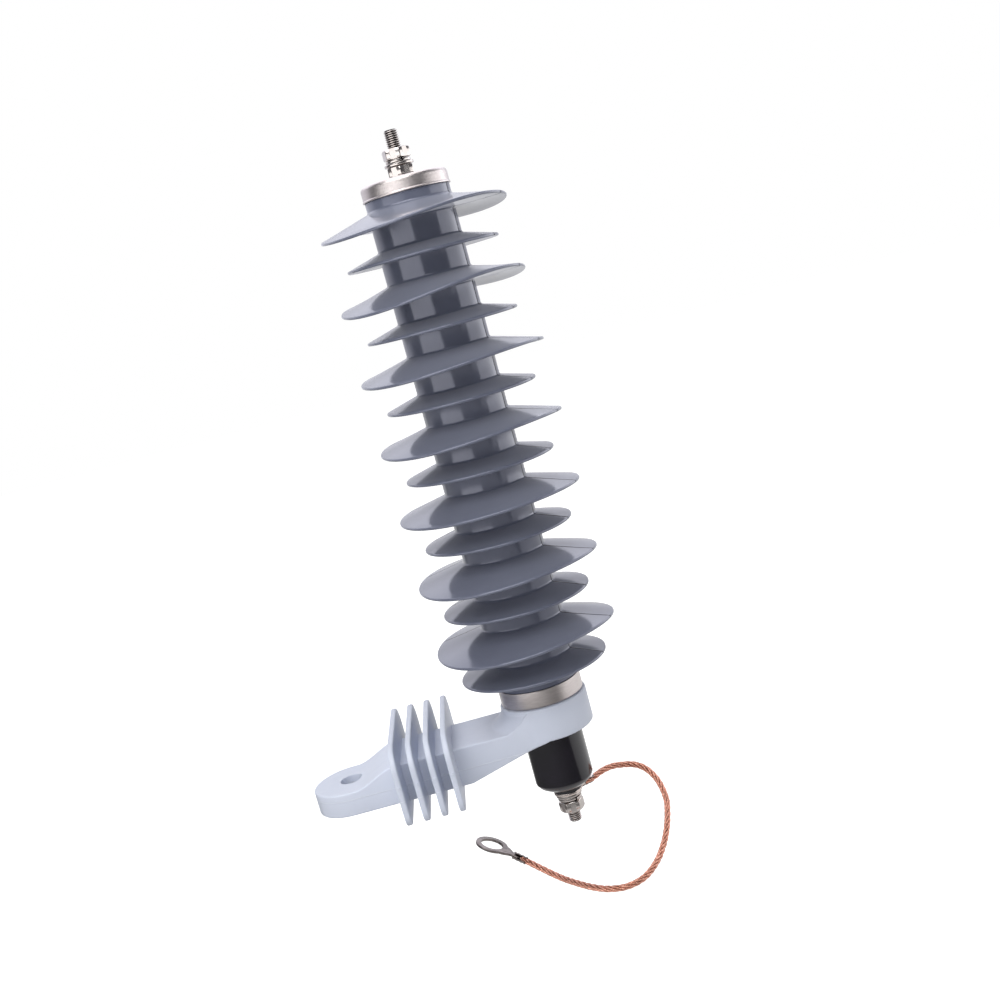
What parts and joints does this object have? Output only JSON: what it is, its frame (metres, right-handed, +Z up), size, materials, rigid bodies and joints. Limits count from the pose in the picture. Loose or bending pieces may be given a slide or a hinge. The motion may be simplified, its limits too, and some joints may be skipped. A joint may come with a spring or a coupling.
{
  "type": "distribution surge arrester",
  "caption": "Upright silicone-housed surge arrester with alternating sheds, on a finned insulating arm, with a ground lead disconnector and a stranded ground lead.",
  "frame": {"origin": "underside of the bracket's pad, on its centre line, 20 mm from the bolt hole's centre towards the arrester", "axes": "+Z up along the arrester's axis, towards the line terminal; +X from the pad's bolt hole towards the arrester's axis"},
  "size_m": [0.2584, 0.1372, 0.5619],
  "materials": {
    "silicone_rubber": "satin blue-grey moulded silicone",
    "stainless_steel": "bright brushed stainless steel",
    "aluminium": "turned",
    "wound_glass_fibre": "resin-bound glass fibre winding",
    "zinc_oxide": "dark sintered ceramic",
    "moulded_polyester": "pale blue-grey glass-filled moulding, satin",
    "black_plastic": "glossy black moulding",
    "resistor_ceramic": "matt ceramic",
    "brass": "plain",
    "tinned_copper": "dull tinned copper",
    "copper_strand": "bare twisted copper strands"
  },
  "bodies": {
    "root": {"housing": "silicone_rubber", "top_cap": "stainless_steel", "bottom_cap": "stainless_steel", "contact_spring": "stainless_steel", "base_stud": "stainless_steel", "top_stud": "stainless_steel", "lower_nut": "stainless_steel", "top_washer": "stainless_steel", "top_spring_washer": "stainless_steel", "upper_nut": "stainless_steel", "ground_stud": "stainless_steel", "ground_washer": "stainless_steel", "ground_spring_washer": "stainless_steel", "ground_nut": "stainless_steel", "threaded_insert": "stainless_steel", "bottom_electrode": "aluminium", "top_electrode": "aluminium", "core_tube": "wound_glass_fibre", "disc_01": "zinc_oxide", "disc_02": "zinc_oxide", "disc_03": "zinc_oxide", "disc_04": "zinc_oxide", "disc_05": "zinc_oxide", "disc_06": "zinc_oxide", "disc_07": "zinc_oxide", "disc_08": "zinc_oxide", "disc_09": "zinc_oxide", "disc_10": "zinc_oxide", "disc_11": "zinc_oxide", "disc_12": "zinc_oxide", "bracket": "moulded_polyester", "disconnector_case": "black_plastic", "case_seal": "black_plastic", "grading_resistor": "resistor_ceramic", "contact_plate": "brass", "cartridge": "brass", "ground_lug": "tinned_copper", "free_lug": "tinned_copper", "ground_lead": "copper_strand"}
  },
  "joints": []
}
